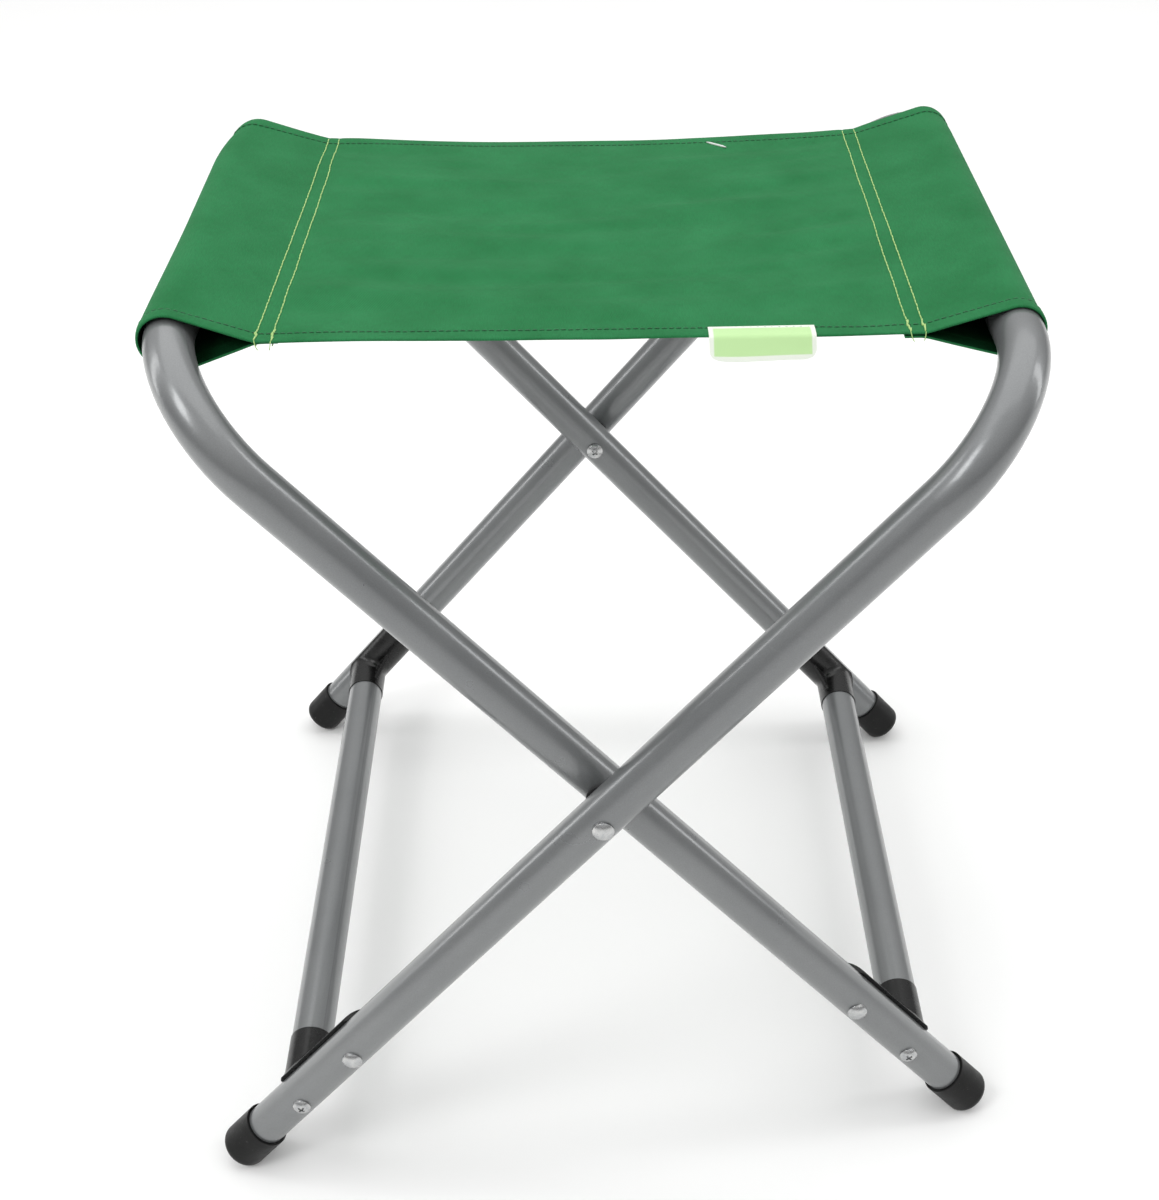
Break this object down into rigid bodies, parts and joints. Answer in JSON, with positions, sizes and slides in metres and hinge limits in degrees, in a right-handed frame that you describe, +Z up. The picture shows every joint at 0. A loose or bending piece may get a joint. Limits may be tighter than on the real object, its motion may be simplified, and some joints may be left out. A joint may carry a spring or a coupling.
{
  "type": "folding camp stool",
  "caption": "Folding camp stool with crossed U-shaped steel tube frames, cross tubes in moulded brackets, foot caps and a sewn cloth seat.",
  "frame": {"origin": "on the floor, under the middle of the open stool", "axes": "+Z up; +X to the right, across the seat from rail to rail; +Y to the back, along the seat rails and the pivot axis"},
  "size_m": [0.4182, 0.3984, 0.47],
  "materials": {
    "frame_paint": "semi-gloss silver-grey powder coat",
    "black_moulding": "satin black",
    "foot_rubber": "satin black",
    "plated_steel": "bright zinc plate",
    "washer_nylon": "black nylon",
    "seat_cloth": "woven polyester, green",
    "tag_cloth": "woven tag, light green with a white border"
  },
  "bodies": {
    "outer_frame": {"outer_frame_tube": "frame_paint", "cross_tube_left": "frame_paint", "bracket_left_front": "black_moulding", "bracket_left_back": "black_moulding", "foot_cap_left_front": "foot_rubber", "foot_cap_left_back": "foot_rubber", "cross_tube_screw_left_front": "plated_steel", "cross_tube_screw_left_back": "plated_steel", "bracket_rivet_left_front": "plated_steel", "bracket_rivet_left_back": "plated_steel", "pivot_barrel_nut_front": "plated_steel", "pivot_barrel_nut_back": "plated_steel", "pivot_screw_front": "plated_steel", "pivot_screw_back": "plated_steel", "pivot_washer_front": "washer_nylon", "pivot_washer_back": "washer_nylon", "seat_sleeve_right": "seat_cloth", "seat_panel": "seat_cloth", "seat_tag": "tag_cloth"},
    "inner_frame": {"inner_frame_tube": "frame_paint", "cross_tube_right": "frame_paint", "bracket_right_front": "black_moulding", "bracket_right_back": "black_moulding", "foot_cap_right_front": "foot_rubber", "foot_cap_right_back": "foot_rubber", "cross_tube_screw_right_front": "plated_steel", "cross_tube_screw_right_back": "plated_steel", "bracket_rivet_right_front": "plated_steel", "bracket_rivet_right_back": "plated_steel", "seat_sleeve_left": "seat_cloth"}
  },
  "joints": [
    {"name": "fold", "type": "hinge", "parent": "outer_frame", "child": "inner_frame", "pos_m": [0, 0, 0.2422], "axis": [0, 1, 0], "range_deg": [0, 73], "deforming": ["seat_panel", "seat_sleeve_left", "seat_sleeve_right", "seat_tag"]}
  ]
}
